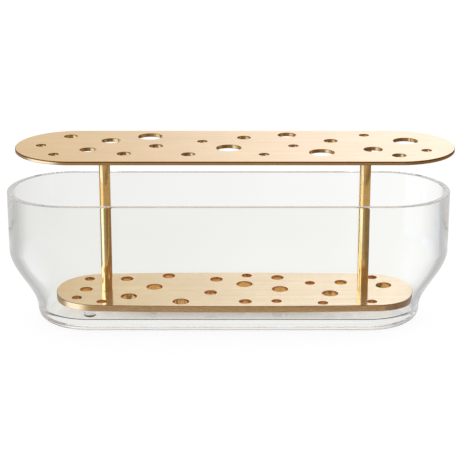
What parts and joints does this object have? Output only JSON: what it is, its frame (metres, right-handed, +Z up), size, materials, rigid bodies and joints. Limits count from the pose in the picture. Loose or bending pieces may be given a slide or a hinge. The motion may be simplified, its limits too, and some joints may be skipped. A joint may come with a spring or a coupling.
{
  "type": "ikebana vase",
  "caption": "Long round-ended clear glass vase with a lift-out brass insert: a drilled stem plate held over a drilled base plate on slim posts.",
  "frame": {"origin": "middle of the glass foot, on the table", "axes": "+X along the vase, to the right in the picture; +Y away from the viewer; +Z up"},
  "size_m": [0.3622, 0.1048, 0.145],
  "materials": {
    "clear_glass": "clear blown glass, ground and polished rim",
    "brushed_brass": "pale brass, fine lengthwise brushing",
    "polished_brass": "satin polished brass rod",
    "screw_brass": "plain turned brass",
    "clear_bumper": "clear soft rubber"
  },
  "bodies": {
    "vessel": {"glass_vessel": "clear_glass"},
    "insert": {"top_plate": "brushed_brass", "base_plate": "brushed_brass", "left_post": "polished_brass", "left_screw": "screw_brass", "left_front_bumper": "clear_bumper", "left_back_bumper": "clear_bumper", "right_post": "polished_brass", "right_screw": "screw_brass", "right_front_bumper": "clear_bumper", "right_back_bumper": "clear_bumper"}
  },
  "joints": [
    {"name": "insert_lift", "type": "slide", "parent": "vessel", "child": "insert", "axis": [0, 0, 1], "range_m": [0, 0.12]}
  ]
}
